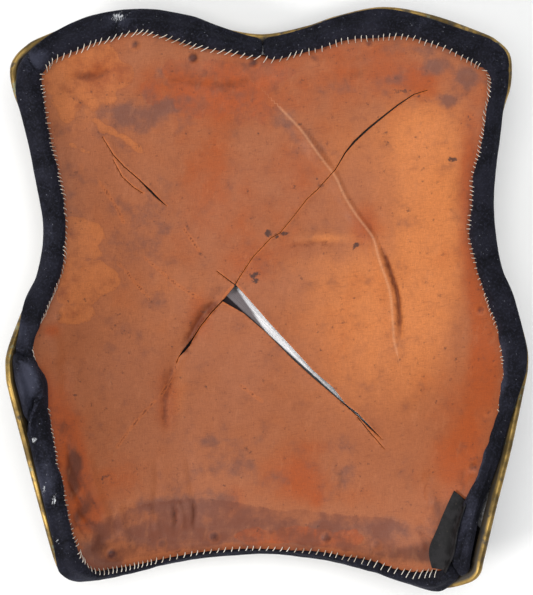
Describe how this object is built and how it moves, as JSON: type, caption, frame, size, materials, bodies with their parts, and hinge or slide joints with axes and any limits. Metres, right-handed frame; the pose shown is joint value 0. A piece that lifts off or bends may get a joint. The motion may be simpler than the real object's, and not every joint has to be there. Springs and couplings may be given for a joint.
{
  "type": "cuirass back plate",
  "caption": "Hollow steel back plate of a cuirass with a brass-bound edge, a torn tan leather lining and a dark padded roll sewn round the rim.",
  "frame": {"origin": "the flat spot in the middle of the back's outer face, where the plate rests when it lies hollow side up", "axes": "+Z out of the hollow, +Y towards the neck, +X towards the side that is on the right when looking into the hollow with the neck at the top"},
  "size_m": [0.3639, 0.4182, 0.0864],
  "materials": {
    "steel": "polished, lightly worn",
    "brass": "dull, with some green tarnish",
    "lining": "worn tan, stained",
    "roll": "matt, napped, nearly black navy",
    "tab": "worn black"
  },
  "bodies": {
    "root": {"steel_plate": "steel", "brass_binding": "brass", "leather_lining": "lining", "roll_right": "roll", "roll_left": "roll", "leather_tab": "tab", "rivet_00": "brass", "rivet_01": "brass", "rivet_02": "brass", "rivet_03": "brass", "rivet_04": "brass", "rivet_05": "brass", "rivet_06": "brass", "rivet_07": "brass", "rivet_08": "brass", "rivet_09": "brass", "rivet_10": "brass", "rivet_11": "brass", "rivet_12": "brass", "rivet_13": "brass", "rivet_14": "brass", "rivet_15": "brass", "rivet_16": "brass", "rivet_17": "brass", "rivet_18": "brass", "rivet_19": "brass", "rivet_20": "brass", "rivet_21": "brass", "rivet_22": "brass", "rivet_23": "brass", "rivet_24": "brass", "rivet_25": "brass", "rivet_26": "brass", "rivet_27": "brass", "rivet_28": "brass", "rivet_29": "brass", "rivet_30": "brass", "rivet_31": "brass"}
  },
  "joints": []
}
